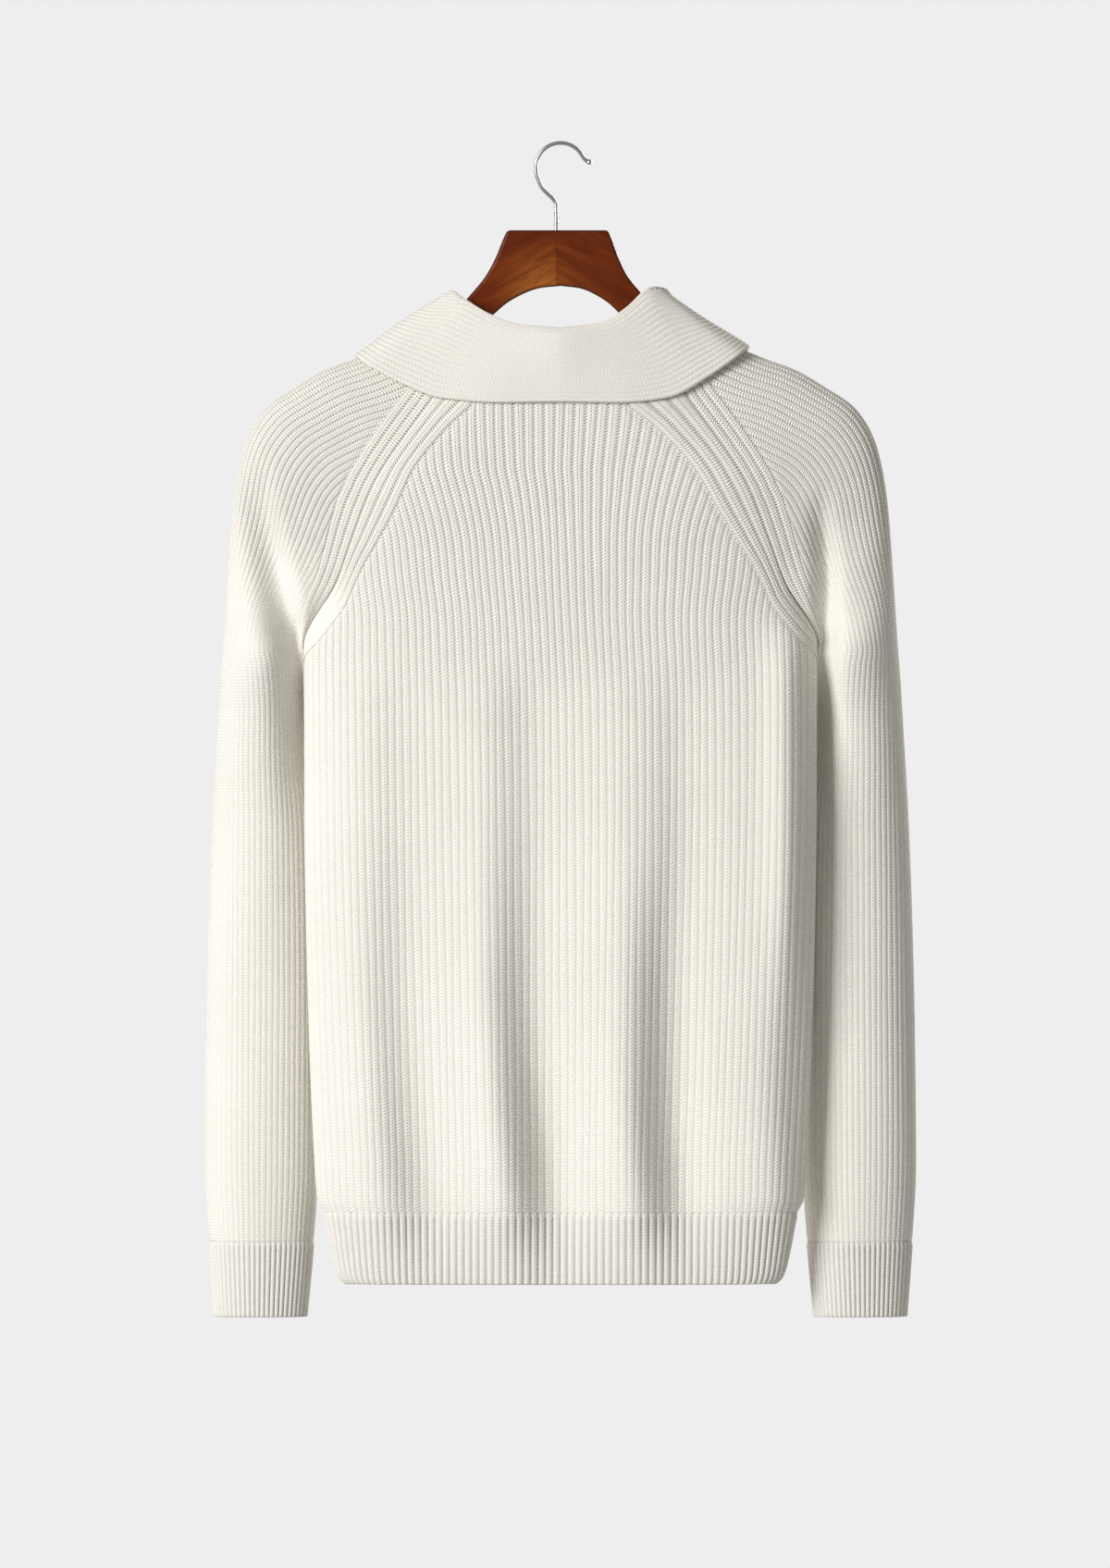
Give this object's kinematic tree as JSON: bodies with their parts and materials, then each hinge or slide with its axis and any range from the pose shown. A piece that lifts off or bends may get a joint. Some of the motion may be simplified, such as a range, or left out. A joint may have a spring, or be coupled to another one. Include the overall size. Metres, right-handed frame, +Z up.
{
  "type": "v-neck sweater on hanger",
  "caption": "Ribbed raglan pullover with a wide folded shawl collar and a V neck, hanging on a contoured wooden hanger with a wire hook.",
  "frame": {"origin": "underside of the crown of the hook, where a rail holds it", "axes": "+Z up, the sweater's front toward -Y, its back toward +Y, the wearer's left toward +X"},
  "size_m": [0.5546, 0.1056, 0.916],
  "materials": {
    "knit": "matte ribbed wool knit",
    "wood": "dark red-brown with gloss lacquer",
    "wire": "polished"
  },
  "bodies": {
    "root": {"back": "knit", "front": "knit", "sleeve_left": "knit", "sleeve_right": "knit", "cuff_left": "knit", "cuff_right": "knit", "hem_band": "knit", "collar": "knit", "hanger": "wood", "hook": "wire"}
  },
  "joints": []
}
